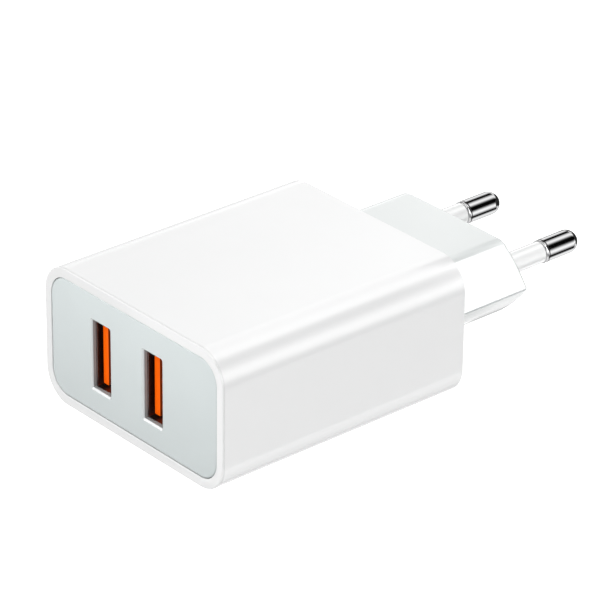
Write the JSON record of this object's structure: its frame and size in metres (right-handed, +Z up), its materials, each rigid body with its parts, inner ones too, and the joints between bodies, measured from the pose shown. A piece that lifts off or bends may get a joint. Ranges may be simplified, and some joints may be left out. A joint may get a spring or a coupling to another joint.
{
  "type": "usb wall charger",
  "caption": "Flat rectangular wall charger with round long edges, an inset face plate with upright USB sockets, and a six-sided plug with sleeved round pins.",
  "frame": {"origin": "centre of the bottom of the whole charger's box, lying on its broad face", "axes": "+Y from the USB face to the pins, +X across the sockets, +Z up through the thickness"},
  "size_m": [0.044, 0.0864, 0.0243],
  "materials": {
    "case_plastic": "glossy white moulded polycarbonate",
    "panel_plastic": "satin pale grey-green moulded plate",
    "pin_metal": "bright nickel-plated brass",
    "sleeve_plastic": "glossy white insulating sleeve",
    "strip_brass": "rolled spring brass",
    "port_steel": "tin-plated folded steel sheet",
    "port_plastic": "orange glass-filled insulator",
    "contact_gold": "gold-flashed spring contact",
    "board_laminate": "green solder mask on glass epoxy",
    "insulating_film": "translucent polyester film",
    "ferrite": "dark grey sintered ferrite",
    "bobbin_plastic": "black phenolic moulding",
    "winding_tape": "yellow polyester tape over the winding",
    "bulk_can": "black sleeved aluminium can",
    "output_can": "green sleeved aluminium can",
    "package_epoxy": "black moulded epoxy package",
    "optocoupler_epoxy": "white moulded epoxy package",
    "disc_ceramic": "blue dipped ceramic disc",
    "fuse_ceramic": "beige coated fusible resistor",
    "copper_wire": "enamelled copper wire"
  },
  "bodies": {
    "charger": {"main_housing": "case_plastic", "rear_cover": "case_plastic", "front_panel": "panel_plastic", "pin_left": "pin_metal", "pin_sleeve_left": "sleeve_plastic", "pin_contact_left": "strip_brass", "usb_shell_left": "port_steel", "usb_insulator_left": "port_plastic", "usb_contact_leg_left_1": "contact_gold", "usb_contact_leg_left_2": "contact_gold", "usb_contact_leg_left_3": "contact_gold", "usb_contact_leg_left_4": "contact_gold", "pin_right": "pin_metal", "pin_sleeve_right": "sleeve_plastic", "pin_contact_right": "strip_brass", "usb_shell_right": "port_steel", "usb_insulator_right": "port_plastic", "usb_contact_leg_right_1": "contact_gold", "usb_contact_leg_right_2": "contact_gold", "usb_contact_leg_right_3": "contact_gold", "usb_contact_leg_right_4": "contact_gold", "main_board": "board_laminate", "insulation_sheet": "insulating_film", "transformer_core_front": "ferrite", "transformer_core_rear": "ferrite", "transformer_bobbin": "bobbin_plastic", "transformer_winding": "winding_tape", "bulk_capacitor_front": "bulk_can", "bulk_capacitor_rear": "bulk_can", "output_capacitor_front": "output_can", "output_capacitor_rear": "output_can", "port_controller_left": "package_epoxy", "port_controller_right": "package_epoxy", "sync_rectifier": "package_epoxy", "primary_controller": "package_epoxy", "bridge_rectifier": "package_epoxy", "clamp_diode": "package_epoxy", "optocoupler": "optocoupler_epoxy", "safety_capacitor": "disc_ceramic", "fuse": "fuse_ceramic", "filter_choke_core": "ferrite", "filter_choke_winding": "copper_wire"},
    "contact_spring_left_1": {"usb_contact_left_1": "contact_gold"},
    "contact_spring_left_2": {"usb_contact_left_2": "contact_gold"},
    "contact_spring_left_3": {"usb_contact_left_3": "contact_gold"},
    "contact_spring_left_4": {"usb_contact_left_4": "contact_gold"},
    "contact_spring_right_1": {"usb_contact_right_1": "contact_gold"},
    "contact_spring_right_2": {"usb_contact_right_2": "contact_gold"},
    "contact_spring_right_3": {"usb_contact_right_3": "contact_gold"},
    "contact_spring_right_4": {"usb_contact_right_4": "contact_gold"}
  },
  "joints": [
    {"name": "contact_flex_left_1", "type": "hinge", "parent": "charger", "child": "contact_spring_left_1", "pos_m": [-0.00862, -0.03105, 0.0084], "axis": [0, 0, -1], "range_deg": [0, 2.4], "stiffness_Nm_per_rad": 0.16},
    {"name": "contact_flex_left_2", "type": "hinge", "parent": "charger", "child": "contact_spring_left_2", "pos_m": [-0.00862, -0.03105, 0.0109], "axis": [0, 0, -1], "range_deg": [0, 2.4], "stiffness_Nm_per_rad": 0.16},
    {"name": "contact_flex_left_3", "type": "hinge", "parent": "charger", "child": "contact_spring_left_3", "pos_m": [-0.00862, -0.03105, 0.0129], "axis": [0, 0, -1], "range_deg": [0, 2.4], "stiffness_Nm_per_rad": 0.16},
    {"name": "contact_flex_left_4", "type": "hinge", "parent": "charger", "child": "contact_spring_left_4", "pos_m": [-0.00862, -0.03105, 0.0154], "axis": [0, 0, -1], "range_deg": [0, 2.4], "stiffness_Nm_per_rad": 0.16},
    {"name": "contact_flex_right_1", "type": "hinge", "parent": "charger", "child": "contact_spring_right_1", "pos_m": [0.00423, -0.03105, 0.0084], "axis": [0, 0, -1], "range_deg": [0, 2.4], "stiffness_Nm_per_rad": 0.16},
    {"name": "contact_flex_right_2", "type": "hinge", "parent": "charger", "child": "contact_spring_right_2", "pos_m": [0.00423, -0.03105, 0.0109], "axis": [0, 0, -1], "range_deg": [0, 2.4], "stiffness_Nm_per_rad": 0.16},
    {"name": "contact_flex_right_3", "type": "hinge", "parent": "charger", "child": "contact_spring_right_3", "pos_m": [0.00423, -0.03105, 0.0129], "axis": [0, 0, -1], "range_deg": [0, 2.4], "stiffness_Nm_per_rad": 0.16},
    {"name": "contact_flex_right_4", "type": "hinge", "parent": "charger", "child": "contact_spring_right_4", "pos_m": [0.00423, -0.03105, 0.0154], "axis": [0, 0, -1], "range_deg": [0, 2.4], "stiffness_Nm_per_rad": 0.16}
  ],
  "couplings": [
    {"joint": "contact_flex_left_2", "follows": "contact_flex_left_1", "ratio": 1},
    {"joint": "contact_flex_left_3", "follows": "contact_flex_left_1", "ratio": 1},
    {"joint": "contact_flex_left_4", "follows": "contact_flex_left_1", "ratio": 1},
    {"joint": "contact_flex_right_2", "follows": "contact_flex_right_1", "ratio": 1},
    {"joint": "contact_flex_right_3", "follows": "contact_flex_right_1", "ratio": 1},
    {"joint": "contact_flex_right_4", "follows": "contact_flex_right_1", "ratio": 1}
  ]
}
